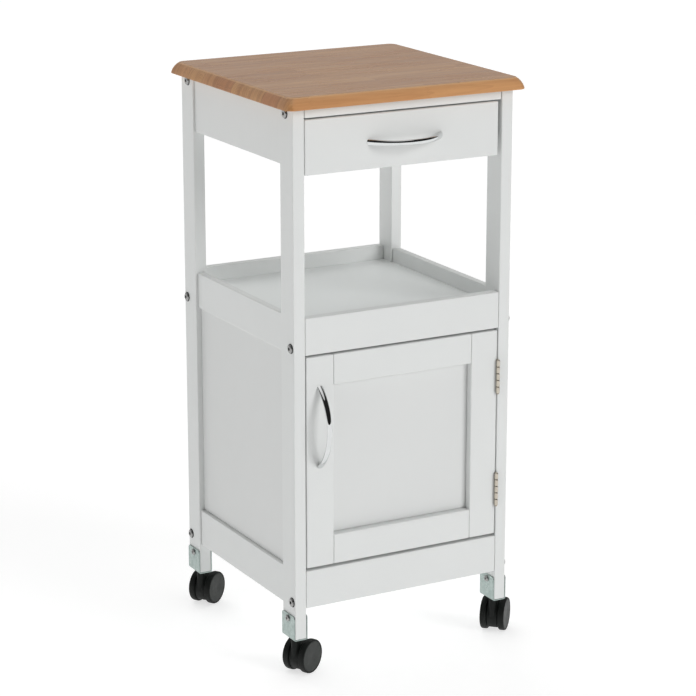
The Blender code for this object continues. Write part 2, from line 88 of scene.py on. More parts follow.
# The clearance round hinges and in casters, and how far small metal stands off the face that it sits on.
GAP = 0.0003
OFF_FACE = 0.0001
OFF_BOLTED_FACE = 0.00005

# Worktop edge, the same curve as the solid's.
TOP_CORNER = 0.013
TOP_UNDER_ARRIS = 0.0006
TOP_ARRIS = 0.0010
# How far down from the top the worktop's upright faces get a painted highlight.
TOP_HIGHLIGHT_BAND = 0.0016
TOP_EDGE_RADIUS = 0.0242
TOP_EDGE_ARC_DEG = (9, 52)
CORNER_TAPER = 0.2

# Marks on the worktop's faces: which are upright or a corner's, and over which headings end grain takes over.
UPRIGHT_BELOW = 0.95
CORNER_ABOVE = 0.3
CORNER_SIDE = 0.3
END_GRAIN_FROM_DEG = 15
END_GRAIN_OVER_DEG = 50

# Wood: a stave's width, its blocks' least length and what may be added, their finger joints, growth rings.
STAVE = 0.0463
BLOCK_LENGTH = 0.120
BLOCK_LONGER = 0.110
FINGER_PITCH = 0.0052
FINGER_DEPTH = 0.012
RING_SPACING = 0.0043

# Bow handles.
HANDLE_LENGTH = 0.119
HANDLE_PROJECTION = 0.030
HANDLE_FOOT_WIDE = 0.0098
HANDLE_MIDDLE_WIDE = 0.0076
HANDLE_THICK = 0.0050
HANDLE_SCREW_FROM_END = 0.006

# Casters, from the stem's axis at floor level, X along the trail and Y along the axle.
TRAIL = 0.0185
WHEEL_RADIUS = 0.025
WHEEL_WIDTH = 0.0098
HOOD_RADIUS = 0.0230
HOOD_HALF_WIDTH = 0.0082
HOOD_ARC_DEG = (12, 232)
HOOD_RIM = 0.0014
STEM_RADIUS = 0.004
BOSS_RADIUS = 0.0055
AXLE_RADIUS = 0.0025
AXLE_HALF = 0.0147

# Foot brackets.
SHEET = 0.0015
BEND_RADIUS = 0.0012
FLANGE_CORNER = 0.004
BRACKET_SCREW_HEIGHT = 0.0885

# Hinges.
HINGE_LENGTH = 0.050
KNUCKLES = 5
BARREL_RADIUS = 0.00275
LEAF_THICK = 0.0011
LEAF_OFFSET = 0.00015
HINGE_REACH = 0.014
PIN_RADIUS = 0.0019
LEAF_START = 0.0020
LEAF_CORNER = 0.0025
RELIEF_RADIUS = 0.0034
LEAF_SCREW_PROUD = 0.00008

# Screws in a hinge leaf, as (distance up from its middle, distance in from its edge).
LEAF_SCREWS = ((-0.0165, 0.0045), (0.0, 0.0075), (0.0165, 0.0045))

# Leg bolts, as (height, distance in from the leg's front or rear edge), and other fastenings.
LEG_BOLTS = ((0.8144, 0.0215), (0.488, 0.0088), (0.115, 0.0088))
# Painted shade: a thin black ring under each leg bolt, in place of the shadow round its head.
SHADOW_RING_RADIUS = 0.0071
SHADOW_RING_THICK = 0.0006
BATTEN_SCREW_OFFSET = 0.110
CATCH_RADIUS = 0.0012
POLE_OFFSET = 0.0026
POLE_HALF_WIDTH = 0.0008
POLE_FROM_END = 0.007
STRIKE_ACROSS = (-0.0040, 0.0055)
STRIKE_BACK = 0.0012
STRIKE_FROM_END = 0.002


# ---------------------------------------------------------------- materials

class Graph:
    """One material's node tree. Each method adds a node and returns the socket that it gives."""

    def __init__(self, name):
        self.material = bpy.data.materials.new(name)
        self.material.use_nodes = True
        self.tree = self.material.node_tree
        self.shader = self.tree.nodes["Principled BSDF"]
        self._place = None

    def put(self, socket, value):
        if isinstance(value, bpy.types.NodeSocket):
            self.tree.links.new(value, socket)
        elif isinstance(value, tuple) and len(value) == 3 and socket.type == "RGBA":
            socket.default_value = (*value, 1.0)
        else:
            socket.default_value = value

    def add(self, kind, settings=None, output=0, **inputs):
        node = self.tree.nodes.new(kind)
        for key, value in (settings or {}).items():
            setattr(node, key, value)
        for key, value in inputs.items():
            self.put(node.inputs[int(key[1:]) if key[1:].isdigit() else key.replace("_", " ")], value)
        return node.outputs[output]

    def place(self):
        if self._place is None:
            self._place = self.add("ShaderNodeTexCoord", output="Object")
        return self._place

    def math(self, operation, first, second=0.0, third=0.0):
        return self.add("ShaderNodeMath", {"operation": operation}, i0=first, i1=second, i2=third)

    def scaled(self, vector, factors):
        return self.add("ShaderNodeVectorMath", {"operation": "MULTIPLY"}, i0=vector, i1=factors)

    def shifted(self, vector, offset):
        return self.add("ShaderNodeVectorMath", {"operation": "ADD"}, i0=vector, i1=offset)

    def noise(self, vector, scale, detail=2.0, roughness=0.5):
        return self.add("ShaderNodeTexNoise", Vector=vector, Scale=scale, Detail=detail, Roughness=roughness)

    def remap(self, value, low, high, new_low, new_high):
        return self.add("ShaderNodeMapRange", i0=value, i1=low, i2=high, i3=new_low, i4=new_high)

    def mix(self, factor, first, second):
        node = self.tree.nodes.new("ShaderNodeMix")
        node.data_type = "RGBA"
        self.put(node.inputs[0], factor)
        self.put(node.inputs[6], first)
        self.put(node.inputs[7], second)
        return node.outputs[2]

    def attribute(self, name):
        return self.add("ShaderNodeAttribute", {"attribute_name": name}, output="Fac")

    def bump(self, height, distance, strength):
        return self.add("ShaderNodeBump", Height=height, Distance=distance, Strength=strength)

    def finish(self, **inputs):
        for key, value in inputs.items():
            self.put(self.shader.inputs[key.replace("_", " ")], value)
        return self.material


def stretched(axis, along, across):
    """Scale factors that stretch a pattern along one axis."""
    factors = [across, across, across]
    factors["XYZ".index(axis)] = along
    return tuple(factors)


def paint(name, axis):
    """Satin white paint on wood whose grain, just visible under the paint, runs along one axis."""
    g = Graph(name)
    cloud = g.noise(g.place(), 14.0, 3.0)
    tone = g.mix(cloud, (0.745, 0.760, 0.752), (0.775, 0.788, 0.780))
    speck = g.remap(g.noise(g.place(), 420.0, 2.0), 0.70, 0.78, 0.0, 0.22)
    tone = g.mix(speck, tone, (0.70, 0.70, 0.68))
    # Painted highlight: the rounded edges are painted lighter in patches, where they catch the light.
    patches = g.remap(g.noise(g.place(), 55.0, 4.0), 0.45, 0.70, 0.0, 0.45)
    edge_highlight = g.math("MULTIPLY", g.attribute("edge"), patches)
    tone = g.mix(edge_highlight, tone, (0.80, 0.80, 0.785))
    grain = g.noise(g.scaled(g.place(), stretched(axis, 9.0, 330.0)), 1.0, 3.0, 0.6)
    peel = g.noise(g.place(), 950.0, 2.0)
    height = g.math("ADD", g.math("MULTIPLY", grain, 0.65), g.math("MULTIPLY", peel, 0.35))
    rough = g.remap(g.noise(g.place(), 90.0, 3.0), 0.3, 0.7, 0.36, 0.46)
    return g.finish(Base_Color=tone, Roughness=rough, Normal=g.bump(height, 0.00010, 0.35))


def board_paint(name, dark, light, rough_low, rough_high):
    """Rolled white lacquer on fibreboard: an even, faintly pebbled film."""
    g = Graph(name)
    tone = g.mix(g.noise(g.place(), 11.0, 3.0), dark, light)
    pebble = g.noise(g.place(), 620.0, 3.0, 0.6)
    rough = g.remap(g.noise(g.place(), 70.0, 3.0), 0.3, 0.7, rough_low, rough_high)
    return g.finish(Base_Color=tone, Roughness=rough, Normal=g.bump(pebble, 0.00008, 0.35))


def honey_wood():
    """Staves glued side by side, each of finger-jointed blocks, with growth rings that run right through."""
    g = Graph("lacquered_staves")
    split = g.tree.nodes.new("ShaderNodeSeparateXYZ")
    g.put(split.inputs[0], g.place())
    x, y, z = split.outputs
    across = g.math("DIVIDE", g.math("ADD", y, 0.200), STAVE)
    row = g.math("FLOOR", across)
    in_row = g.math("FRACT", across)
    row_random = g.add("ShaderNodeTexWhiteNoise", {"noise_dimensions": "1D"}, W=row)
    length = g.math("MULTIPLY_ADD", row_random, BLOCK_LONGER, BLOCK_LENGTH)
    tooth = g.math("FRACT", g.math("DIVIDE", z, FINGER_PITCH))
    finger = g.math("ABSOLUTE", g.math("SUBTRACT", tooth, 0.5))
    start = g.math("MULTIPLY_ADD", row_random, 3.7, 5.0)
    run = g.math("ADD", g.math("ADD", x, start), g.math("MULTIPLY", finger, FINGER_DEPTH))
    along = g.math("DIVIDE", run, length)
    block = g.math("FLOOR", along)
    in_block = g.math("FRACT", along)
    key = g.add("ShaderNodeCombineXYZ", X=row, Y=block)
    lottery = g.tree.nodes.new("ShaderNodeTexWhiteNoise")
    lottery.noise_dimensions = "3D"
    g.put(lottery.inputs["Vector"], key)
    draw = g.tree.nodes.new("ShaderNodeSeparateColor")
    g.put(draw.inputs[0], lottery.outputs["Color"])
    first, second, third = draw.outputs

    # Growth rings about a pith below or beside each block, leaning a little as they run along it.
    shift = g.add("ShaderNodeCombineXYZ", X=g.math("MULTIPLY", first, 3.0), Y=second, Z=third)
    spot = g.shifted(g.place(), shift)
    warp = g.noise(g.scaled(spot, (5.0, 34.0, 34.0)), 1.0, 3.0, 0.55)
    side = g.math("SUBTRACT", g.math("MULTIPLY", in_row, STAVE), g.math("MULTIPLY", second, 0.060))
    depth = g.math("SUBTRACT", g.math("SUBTRACT", z, 0.80), g.math("MULTIPLY", third, 0.050))
    lean = g.math("MULTIPLY", x, g.math("MULTIPLY", g.math("SUBTRACT", first, 0.5), 0.10))
    squares = g.math("ADD", g.math("MULTIPLY", side, side), g.math("MULTIPLY", depth, depth))
    radius = g.math("ADD", g.math("SQRT", squares), lean)
    radius = g.math("MULTIPLY_ADD", warp, 0.010, radius)
    ring = g.math("FRACT", g.math("DIVIDE", radius, RING_SPACING))
    late = g.math("POWER", ring, 2.6)
    fibre = g.noise(g.scaled(spot, (11.0, 520.0, 520.0)), 1.0, 4.0, 0.65)
    streak = g.noise(g.scaled(spot, (3.5, 90.0, 90.0)), 1.0, 3.0, 0.55)
    pore = g.remap(g.noise(g.scaled(spot, (42.0, 1500.0, 1500.0)), 1.0, 1.0), 0.66, 0.76, 0.0, 1.0)

    tone = g.mix(first, (0.510, 0.236, 0.082), (0.650, 0.345, 0.140))
    tone = g.mix(g.remap(streak, 0.36, 0.66, 0.0, 0.85), tone, (0.390, 0.158, 0.050))
    tone = g.mix(g.math("MULTIPLY", late, 0.48), tone, (0.350, 0.132, 0.040))
    tone = g.mix(g.remap(fibre, 0.35, 0.75, 0.0, 0.40), tone, (0.720, 0.415, 0.185))
    tone = g.mix(g.math("MULTIPLY", pore, 0.40), tone, (0.250, 0.092, 0.030))
    edge_y = g.math("MULTIPLY", g.math("MINIMUM", in_row, g.math("SUBTRACT", 1.0, in_row)), STAVE)
    edge_x = g.math("MULTIPLY", g.math("MINIMUM", in_block, g.math("SUBTRACT", 1.0, in_block)), length)
    glue = g.remap(g.math("MINIMUM", edge_x, edge_y), 0.00012, 0.00042, 1.0, 0.0)
    tone = g.mix(g.math("MULTIPLY", glue, 0.55), tone, (0.240, 0.100, 0.036))

    # Sawn ends drink more lacquer: darker, redder in some staves and yellower in others.
    stain = g.mix(g.remap(row_random, 0.25, 0.75, 0.0, 1.0), (0.520, 0.250, 0.125), (0.610, 0.340, 0.160))
    stripe = g.noise(g.scaled(g.place(), (1.0, 95.0, 10.0)), 1.0, 3.0, 0.6)
    stain = g.mix(g.remap(stripe, 0.42, 0.70, 0.0, 0.60), stain, (0.290, 0.120, 0.055))
    stain = g.mix(g.math("MULTIPLY", late, 0.30), stain, (0.225, 0.085, 0.034))
    stain = g.mix(g.math("MULTIPLY", glue, 0.70), stain, (0.150, 0.060, 0.024))
    tone = g.mix(g.math("MULTIPLY", g.attribute("end"), 0.85), tone, stain)
    # The upright long-grain faces are made lighter and warmer than the top.
    long_grain_lightening = g.math("MULTIPLY", g.math("SUBTRACT", g.attribute("side"), g.attribute("end")), 0.35)
    tone = g.mix(g.math("MAXIMUM", long_grain_lightening, 0.0), tone, (0.760, 0.390, 0.185))
    # Painted highlight: the band just under the top arris is painted lighter and warmer.
    tone = g.mix(g.math("MULTIPLY", g.attribute("rim"), 0.55), tone, (0.740, 0.470, 0.250))
    hollow = g.math("ADD", g.math("MULTIPLY", pore, 0.7), glue)
    height = g.math("SUBTRACT", g.math("MULTIPLY", fibre, 0.5), hollow)
    rough = g.remap(g.noise(g.scaled(g.place(), (14.0, 60.0, 60.0)), 1.0, 3.0), 0.3, 0.7, 0.20, 0.30)
    rough = g.math("MULTIPLY_ADD", g.attribute("side"), 0.28, rough)
    coat = g.remap(g.attribute("side"), 0.0, 1.0, 0.14, 0.0)
    normal = g.bump(height, 0.00005, 0.35)
    return g.finish(Base_Color=tone, Roughness=rough, Normal=normal, Coat_Weight=coat, Coat_Roughness=0.12)


def polished(name, low, high, rough_low, rough_high, scratch=0.00002):
    """Bright plate with a faint buffing haze."""
    g = Graph(name)
    tone = g.mix(g.noise(g.place(), 120.0, 2.0), low, high)
    haze = g.noise(g.scaled(g.place(), (60.0, 60.0, 300.0)), 1.0, 3.0)
    rough = g.remap(haze, 0.3, 0.7, rough_low, rough_high)
    buff = g.noise(g.scaled(g.place(), (350.0, 350.0, 1600.0)), 1.0, 2.0)
    return g.finish(Base_Color=tone, Roughness=rough, Metallic=1.0, Normal=g.bump(buff, scratch, 0.2))


def zinc():
    """Bluish zinc plating with the cloudy patches of a passivated sheet."""
    g = Graph("zinc_plated_sheet")
    cloud = g.noise(g.place(), 190.0, 4.0, 0.6)
    tone = g.mix(g.remap(cloud, 0.35, 0.70, 0.0, 1.0), (0.33, 0.405, 0.380), (0.47, 0.545, 0.520))
    spangle = g.add("ShaderNodeTexVoronoi", Vector=g.place(), Scale=520.0)
    tone = g.mix(g.math("MULTIPLY", spangle, 0.25), tone, (0.44, 0.50, 0.50))
    rough = g.remap(g.noise(g.place(), 260.0, 3.0), 0.3, 0.7, 0.26, 0.46)
    drawn = g.noise(g.scaled(g.place(), (900.0, 900.0, 60.0)), 1.0, 2.0)
    return g.finish(Base_Color=tone, Roughness=rough, Metallic=0.85, Normal=g.bump(drawn, 0.00004, 0.3))


def nylon(name, dark, light, rough_low, rough_high):
    """Moulded plastic: fine spark-eroded grain, dulled and scuffed here and there."""
    g = Graph(name)
    scuff = g.remap(g.noise(g.place(), 210.0, 4.0, 0.65), 0.52, 0.75, 0.0, 0.8)
    tone = g.mix(scuff, dark, light)
    grain = g.noise(g.place(), 2300.0, 2.0, 0.6)
    rough = g.remap(g.noise(g.place(), 150.0, 3.0), 0.3, 0.7, rough_low, rough_high)
    normal = g.bump(grain, 0.00003, 0.4)
    return g.finish(Base_Color=tone, Roughness=rough, Normal=normal, Specular_IOR_Level=0.22)


MATERIALS = {
    "paint_X": paint("white_paint_grain_x", "X"),
    "paint_Y": paint("white_paint_grain_y", "Y"),
    "paint_Z": paint("white_paint_grain_z", "Z"),
    "board": board_paint("white_lacquered_board", (0.720, 0.732, 0.725), (0.748, 0.758, 0.750), 0.40, 0.50),
    # Painted light: the two shelf floors get a lighter white than the other boards, for the light lost in the
    # shade above them.
    "shelf": board_paint("white_floor_board_painted_light", (0.835, 0.856, 0.848), (0.848, 0.868, 0.860), 0.37, 0.39),
    "wood": honey_wood(),
    "chrome": polished("chrome_plate", (0.68, 0.70, 0.70), (0.76, 0.77, 0.77), 0.03, 0.07),
    "zinc": zinc(),
    "nickel": polished("satin_nickel", (0.50, 0.45, 0.38), (0.64, 0.59, 0.51), 0.14, 0.26, 0.00004),
    "steel": polished("bright_steel", (0.56, 0.57, 0.57), (0.70, 0.71, 0.71), 0.18, 0.30, 0.00004),
    "bolt": polished("dulled_steel", (0.30, 0.30, 0.30), (0.42, 0.42, 0.41), 0.24, 0.38, 0.00004),
    "caster": nylon("black_nylon", (0.0065, 0.0080, 0.0070), (0.0120, 0.0142, 0.0128), 0.46, 0.62),
    "disc": nylon("grey_nylon", (0.036, 0.039, 0.037), (0.050, 0.053, 0.051), 0.44, 0.56),
    "catch": nylon("off_white_nylon", (0.66, 0.65, 0.61), (0.72, 0.71, 0.68), 0.36, 0.50),
}


# ---------------------------------------------------------------- mesh tools

def add_piece(name, bm, material, body, replaces=(), sharp_deg=35, weighted=False):
    bmesh.ops.recalc_face_normals(bm, faces=bm.faces)
    mesh = bpy.data.meshes.new(name)
    bm.to_mesh(mesh)
    bm.free()
    mesh.materials.append(MATERIALS[material])
    mesh.shade_smooth()
    mesh.set_sharp_from_angle(angle=math.radians(sharp_deg))
    piece = bpy.data.objects.new(name, mesh)
    bpy.context.scene.collection.objects.link(piece)
    if weighted:
        modifier = piece.modifiers.new("face_normals", "WEIGHTED_NORMAL")
        modifier.mode = "FACE_AREA"
        modifier.weight = 100
        modifier.keep_sharp = True
    if replaces:
        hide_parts(*replaces)
    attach(piece, body)
    return piece


def box_bm(low, high):
    bm = bmesh.new()
    bmesh.ops.create_cube(bm, size=1.0)
    size = Vector(high) - Vector(low)
    middle = (Vector(high) + Vector(low)) / 2
    for vert in bm.verts:
        vert.co = Vector((vert.co.x * size.x, vert.co.y * size.y, vert.co.z * size.z)) + middle
    return bm


def round_edges(bm, radius, segments=BOARD_SEGMENTS):
    """Rounds every edge of a box and marks the rounded faces in the edge attribute."""
    bmesh.ops.bevel(bm, geom=bm.edges[:], offset=radius, segments=segments, profile=0.5, affect="EDGES")
    layer = bm.faces.layers.float.new("edge")
    flat = sorted(bm.faces, key=lambda face: face.calc_area())[-6:]
    for face in bm.faces:
        face[layer] = 1.0
    for face in flat:
        face[layer] = 0.0


def skin(bm, loops):
    """Joins each loop of vertices to the next one with a band of faces."""
    for lower, upper in zip(loops, loops[1:]):
        for i in range(len(lower)):
            j = (i + 1) % len(lower)
            bm.faces.new([lower[i], lower[j], upper[j], upper[i]])


def rings_bm(rings, segments, closed_ends=True):
    """A skin about Z through rings of (height, radius), where a radius may be a function of the angle."""
    bm = bmesh.new()
    angles = [2 * math.pi * i / segments for i in range(segments)]
    loops = []
    for height, radius in rings:
        reach = radius if callable(radius) else lambda angle, r=radius: r
        loops.append([bm.verts.new((reach(a) * math.cos(a), reach(a) * math.sin(a), height)) for a in angles])
    skin(bm, loops)
    if closed_ends:
        for loop in (loops[0], loops[-1]):
            centre = bm.verts.new(sum((v.co for v in loop), Vector()) / segments)
            for i in range(segments):
                bm.faces.new([loop[i], loop[(i + 1) % segments], centre])
    return bm


def loop_ends(bm, segments):
    """Joins the first and last rings of an open skin, which makes it a closed tube."""
    bm.verts.ensure_lookup_table()
    skin(bm, [bm.verts[-segments:], bm.verts[:segments]])


def softened(bm, radius):
    """Small metal with its arrises taken off."""
    bmesh.ops.bevel(bm, geom=bm.edges[:], offset=radius, segments=2, profile=0.5, affect="EDGES")
    return bm


def moved(bm, matrix):
    bmesh.ops.transform(bm, matrix=matrix, verts=bm.verts)
    return bm


def merged(parts):
    """One mesh of several separate bodies."""
    whole = bmesh.new()
    for part in parts:
        mesh = bpy.data.meshes.new("part")
        part.to_mesh(mesh)
        part.free()
        whole.from_mesh(mesh)
        bpy.data.meshes.remove(mesh)
    return whole


def solved(bm, others, operation):
    """The bmesh after Booleans with others, each a bmesh."""
    objects = []
    for part in [bm, *others]:
        mesh = bpy.data.meshes.new("helper")
        bmesh.ops.recalc_face_normals(part, faces=part.faces)
        part.to_mesh(mesh)
        part.free()
        helper = bpy.data.objects.new("helper", mesh)
        bpy.context.scene.collection.objects.link(helper)
        objects.append(helper)
    base = objects[0]
    for other in objects[1:]:
        boolean = base.modifiers.new("boolean", "BOOLEAN")
        boolean.operation = operation
        boolean.solver = "EXACT"
        boolean.object = other
    graph = bpy.context.evaluated_depsgraph_get()
    result = bmesh.new()
    result.from_mesh(base.evaluated_get(graph).to_mesh())
    base.evaluated_get(graph).to_mesh_clear()
    for helper in objects:
        mesh = helper.data
        bpy.data.objects.remove(helper, do_unlink=True)
        bpy.data.meshes.remove(mesh)
    return result


def towards(direction, point):
    """The matrix that stands a shape made along +Z at a point, facing a direction."""
    turn = Vector((0, 0, 1)).rotation_difference(Vector(direction)).to_matrix().to_4x4()
    return Matrix.Translation(Vector(point)) @ turn


def hexagon(flats):
    """A hexagon of that width across flats, as a radius for each angle."""
    return lambda angle: flats / 2 / math.cos((angle + math.pi / 6) % (math.pi / 3) - math.pi / 6)


def cross(reach, half_width):
    """A cross recess, as a radius for each angle."""
    def radius(angle):
        slant = min(abs(math.sin(angle)), abs(math.cos(angle)))
        return min(reach, half_width / max(slant, 1e-6))
    return radius


def socket_bolt_bm(radius=0.0064, height=0.0024, flats=0.0046):
    """A low button head with a hexagon socket."""
    rings = [(0, radius * 0.98), (height * 0.35, radius), (height * 0.72, radius * 0.92)]
    rings += [(height * 0.95, radius * 0.74), (height, radius * 0.58)]
    rings += [(height, hexagon(flats * 1.06)), (height * 0.92, hexagon(flats)), (-0.0006, hexagon(flats))]
    return rings_bm(rings, 48)


def cross_screw_bm(radius=0.0050, height=0.0024):
    """A pan head with a cross recess."""
    recess = cross(radius * 0.56, radius * 0.13)
    rings = [(0, radius * 0.97), (height * 0.30, radius), (height * 0.62, radius * 0.93)]
    rings += [(height * 0.88, radius * 0.78), (height, radius * 0.62)]
    rings += [(height, recess), (height * 0.35, cross(radius * 0.44, radius * 0.11))]
    rings += [(height * 0.30, radius * 0.06)]
    return rings_bm(rings, 48)


def flat_screw_bm(radius=0.0034, depth=0.0006):
    """A countersunk head whose rim stands just proud, with a cross recess."""
    recess = cross(radius * 0.55, radius * 0.13)
    rings = [(-depth, radius * 0.80), (0.0, radius), (0.00018, radius * 0.97), (0.00022, radius * 0.90)]
    rings += [(0.00022, recess), (-depth * 0.7, cross(radius * 0.42, radius * 0.11))]
    rings += [(-depth * 0.8, radius * 0.06)]
    return rings_bm(rings, 48)


# ---------------------------------------------------------------- worktop and boards

def worktop_rings(steps=14):
    """(inset, height above the underside) up the worktop's edge."""
    profile = [(TOP_UNDER_ARRIS, 0.0), (TOP_UNDER_ARRIS * 0.3, TOP_UNDER_ARRIS * 0.3)]
    first, last = (math.radians(a) for a in TOP_EDGE_ARC_DEG)
    for step in range(steps + 1):
        angle = first + (last - first) * step / steps
        inset = TOP_EDGE_RADIUS * (math.cos(first) - math.cos(angle))
        profile.append((inset, TOP_UNDER_ARRIS + TOP_EDGE_RADIUS * (math.sin(angle) - math.sin(first))))
    inset = profile[-1][0]
    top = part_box("worktop")[1].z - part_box("worktop")[0].z
    shoulder = profile[-1][1]
    profile += [(inset + TOP_ARRIS * 0.45, shoulder + (top - shoulder) * 0.72), (inset + TOP_ARRIS, top)]
    return profile


def rounded_outline(half_x, half_y, radius, steps=12):
    outline = []
    for corner, (x_sign, y_sign) in enumerate([(1, 1), (-1, 1), (-1, -1), (1, -1)]):
        middle_x = x_sign * (half_x - radius)
        middle_y = y_sign * (half_y - radius)
        for step in range(steps + 1):
            angle = (corner + step / steps) * math.pi / 2
            outline.append((middle_x + radius * math.cos(angle), middle_y + radius * math.sin(angle)))
    return outline


def add_worktop():
    """The worktop, with faces marked for the wood material: upright, end grain, and a top band for a painted
    highlight.
    """
    low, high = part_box("worktop")
    centre = (low + high) / 2
    half = (high - low) / 2
    bm = bmesh.new()
    loops = []
    for inset, height in worktop_rings():
        outline = rounded_outline(half.x - inset, half.y - inset, TOP_CORNER - inset * CORNER_TAPER)
        loops.append([bm.verts.new((centre.x + x, centre.y + y, low.z + height)) for x, y in outline])
    skin(bm, loops)
    bm.faces.new(loops[0][::-1])
    bm.faces.new(loops[-1])
    bm.normal_update()
    marks = {name: bm.faces.layers.float.new(name) for name in ("end", "side", "rim")}
    for face in bm.faces:
        upright = abs(face.normal.z) < UPRIGHT_BELOW
        corner = min(abs(face.normal.x), abs(face.normal.y)) > CORNER_ABOVE
        face[marks["side"]] = 0.0 if not upright else CORNER_SIDE if corner else 1.0
        turned = math.degrees(math.atan2(abs(face.normal.x), abs(face.normal.y)))
        end = min(max((turned - END_GRAIN_FROM_DEG) / END_GRAIN_OVER_DEG, 0.0), 1.0)
        face[marks["end"]] = end if upright else 0.0
        # The band just under the top arris, where the wood material paints a highlight.
        in_highlight_band = face.calc_center_median().z > high.z - TOP_HIGHLIGHT_BAND
        face[marks["rim"]] = 1.0 if upright and in_highlight_band else 0.0
    add_piece("worktop_staves", bm, "wood", "frame", ["worktop"], sharp_deg=30, weighted=True)


def long_axis(node):
    low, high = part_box(node)
    size = high - low
    return "XYZ"[max(range(3), key=lambda axis: size[axis])]


PAINTED = [f"leg_{end}_{side}" for end, side in CORNERS]
PAINTED += [f"{name}_{end}" for name in ("upper_rail", "tray_rail", "lower_rail") for end in ENDS]
PAINTED += [f"{name}_{side}" for name in ("tray_rail", "lower_rail", "apron") for side in SIDES]
PAINTED += ["drawer_front", "door_stile_latch", "door_rail_lower", "door_rail_upper"]
SHEETS = ["side_panel_left", "side_panel_right", "back_panel", "drawer_bay_back", "door_panel"]
SHEETS += ["drawer_runner_left", "drawer_runner_right", "drawer_side_left", "drawer_side_right"]
SHEETS += ["drawer_back", "drawer_bottom"]


def add_board(node, bm, material):
    """A board for a node, shaded flat up to its rounded edges."""
    body, slot = BODY_OF[node], SLOT_OF[node]
    add_piece(f"{node}_board", bm, material, body, [node], sharp_deg=60, weighted=True)


def add_boards():
    """A rounded board for each painted node; the two floors stay as they are, in a lighter white that is painted
    light.
    """
    for node in PAINTED + SHEETS:
        low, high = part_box(node)
        bm = box_bm(low, high)
        round_edges(bm, BOARD_RADIUS if node in PAINTED else SHEET_RADIUS)
        add_board(node, bm, f"paint_{long_axis(node)}" if node in PAINTED else "board")
    for node in ("tray_floor", "cupboard_floor"):
        frame["nodes"][node].data.materials.clear()
        frame["nodes"][node].data.materials.append(MATERIALS["shelf"])


def add_hinge_stile():
    """The hinge stile with its two mortises."""
    node = "door_stile_hinge"
    low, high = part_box(node)
    bm = box_bm(low, high)
    round_edges(bm, BOARD_RADIUS)
    cutters = []
    for level in ("upper", "lower"):
        pin = sum(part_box(f"hinge_{level}_pin"), Vector()) / 2
        reach = HINGE_LENGTH / 2 + GAP
        floor = pin.x - LEAF_OFFSET - LEAF_THICK - GAP
        corner = (floor, low.y - 0.002, pin.z - reach)
        cutters.append(box_bm(corner, (high.x + 0.004, pin.y + HINGE_REACH + GAP, pin.z + reach)))
    add_board(node, solved(bm, cutters, "DIFFERENCE"), "paint_Z")


# ---------------------------------------------------------------- handles

def handle_bm(stations=56, sides=28):
    """A bow along X that stands out towards -Y, slimmest in the middle, its feet flat on the plane y = 0."""
    half = HANDLE_LENGTH / 2 - HANDLE_THICK / 2
    reach = HANDLE_PROJECTION - HANDLE_THICK / 2
    radius = (half * half + reach * reach) / (2 * reach)
    spread = math.asin(half / radius)
    bm = bmesh.new()
    loops = []
    for station in range(stations + 1):
        t = 2 * station / stations - 1
        tilt = t * spread
        along = radius * math.sin(tilt)
        out = radius * math.cos(tilt) - (radius - reach)
        wide = HANDLE_MIDDLE_WIDE + (HANDLE_FOOT_WIDE - HANDLE_MIDDLE_WIDE) * abs(t) ** 3
        loop = []
        for side in range(sides):
            angle = 2 * math.pi * side / sides
            round_off = abs(math.cos(angle)) ** 0.85 * math.copysign(1, math.cos(angle))
            across = HANDLE_THICK / 2 * round_off
            x = along + across * math.sin(tilt)
            y = -(out + across * math.cos(tilt))
            if station in (0, stations):
                x = along + across / math.cos(math.pi / 2 - abs(tilt)) * math.copysign(1, tilt)
                y = 0.0
            loop.append(bm.verts.new((x, y, wide / 2 * math.sin(angle))))
        loops.append(loop)
    skin(bm, loops)
    bm.faces.new(loops[0])
    bm.faces.new(loops[-1])
    return bm


def add_handles():
    """The two bow handles, and the screws that hold them from behind."""
    for node, turn in {"drawer_handle": 0.0, "door_handle": math.pi / 2}.items():
        low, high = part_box(node)
        centre = (low + high) / 2
        place = Matrix.Translation((centre.x, high.y, centre.z)) @ Matrix.Rotation(turn, 4, "Y")
        bm = moved(handle_bm(), place)
        add_piece(f"{node}_bow", bm, "chrome", BODY_OF[node], [node], sharp_deg=40)
        behind = Vector((centre.x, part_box("drawer_front")[1].y + OFF_FACE, centre.z))
        along = Matrix.Rotation(turn, 3, "Y") @ Vector((HANDLE_LENGTH / 2 - HANDLE_SCREW_FROM_END, 0, 0))
        screws = []
        for sign in (-1, 1):
            screw = cross_screw_bm(radius=0.0040, height=0.0022)
            screws.append(moved(screw, towards((0, 1, 0), behind + sign * along)))
        add_piece(f"{node}_screws", merged(screws), "steel", BODY_OF[node])


# ---------------------------------------------------------------- hinges and catch

